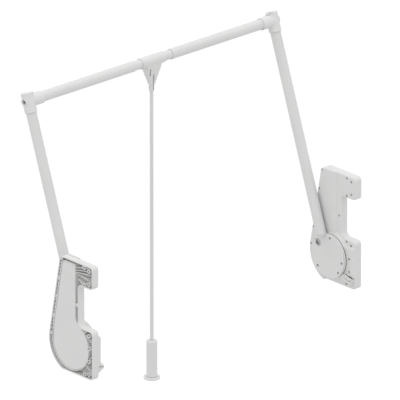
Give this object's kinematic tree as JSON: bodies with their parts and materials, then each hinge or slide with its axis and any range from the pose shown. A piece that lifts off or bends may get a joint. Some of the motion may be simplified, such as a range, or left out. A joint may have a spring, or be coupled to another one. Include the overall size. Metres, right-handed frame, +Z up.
{
  "type": "pull-down wardrobe rail",
  "caption": "Wardrobe lift: two side-wall spring housings, swing arms, a telescopic hanging rail and a rod with a handle that pulls the rail down.",
  "frame": {"origin": "on the swing axis of the arms, halfway between the two side walls", "axes": "+X along the rail towards the right housing, +Y towards the back of the wardrobe, +Z up"},
  "size_m": [0.845, 0.2815, 0.8188],
  "materials": {
    "white_plastic": "fine matte moulded texture",
    "white_paint": "satin powder coat",
    "steel": "zinc plated",
    "bumper_rubber": "matte",
    "bush_plastic": "smooth bearing plastic"
  },
  "bodies": {
    "root": {"left_housing_shell": "white_plastic", "left_chamber_cover": "white_plastic", "left_stop_bumper": "bumper_rubber", "left_bearing_bush": "bush_plastic", "left_thrust_washer": "steel", "left_spring_anchor_pin": "steel", "left_main_spring": "steel"},
    "right_housing": {"right_housing_shell": "white_plastic", "right_chamber_cover": "white_plastic", "right_stop_bumper": "bumper_rubber", "right_bearing_bush": "bush_plastic", "right_thrust_washer": "steel", "right_spring_anchor_pin": "steel", "right_main_spring": "steel"},
    "left_swing": {"left_pivot_axle": "steel", "left_axle_circlip": "steel", "left_crank_arm": "steel", "left_crank_pin": "steel", "left_arm_hub": "white_plastic", "left_hub_cap": "white_plastic", "left_cap_screw_1": "steel", "left_cap_screw_2": "steel", "left_cap_screw_3": "steel", "left_cap_screw_4": "steel", "left_tension_screw": "steel", "left_arm_tube": "white_paint", "left_elbow": "white_plastic", "left_elbow_screw": "steel", "left_rail_plug": "bush_plastic", "left_elbow_grub_screw": "white_plastic", "left_rail_outer_tube": "white_paint"},
    "right_swing": {"right_pivot_axle": "steel", "right_axle_circlip": "steel", "right_crank_arm": "steel", "right_crank_pin": "steel", "right_arm_hub": "white_plastic", "right_hub_cap": "white_plastic", "right_cap_screw_1": "steel", "right_cap_screw_2": "steel", "right_cap_screw_3": "steel", "right_cap_screw_4": "steel", "right_tension_screw": "steel", "right_arm_tube": "white_paint", "right_elbow": "white_plastic", "right_elbow_screw": "steel", "right_rail_plug": "bush_plastic", "right_elbow_grub_screw": "white_plastic", "right_rail_outer_tube": "white_paint"},
    "rail_centre": {"rail_centre_tube": "white_paint"},
    "pull_rod": {"pull_bracket": "white_plastic", "rod_pin": "steel", "pull_rod": "white_paint", "handle_grip": "white_plastic", "handle_base": "white_plastic"}
  },
  "joints": [
    {"name": "swing", "type": "hinge", "parent": "root", "child": "left_swing", "pos_m": [0, 0, 0], "axis": [1, 0, 0], "range_deg": [0, 128], "stiffness_Nm_per_rad": 8, "springref_deg": -20.05, "deforming": ["left_main_spring", "right_main_spring"]},
    {"name": "width_adjust", "type": "slide", "parent": "root", "child": "right_housing", "axis": [1, 0, 0], "range_m": [-0.042, 0.2]},
    {"name": "right_arm_slide", "type": "slide", "parent": "left_swing", "child": "right_swing", "axis": [1, 0, 0], "range_m": [-0.042, 0.2]},
    {"name": "rail_centre_slide", "type": "slide", "parent": "left_swing", "child": "rail_centre", "axis": [1, 0, 0], "range_m": [-0.021, 0.1]},
    {"name": "pull_rod_swing", "type": "hinge", "parent": "rail_centre", "child": "pull_rod", "pos_m": [0, 0.18557, 0.53895], "axis": [-1, 0, 0], "range_deg": [-45, 150]}
  ],
  "couplings": [
    {"joint": "right_arm_slide", "follows": "width_adjust", "ratio": 1},
    {"joint": "rail_centre_slide", "follows": "width_adjust", "ratio": 0.5}
  ]
}
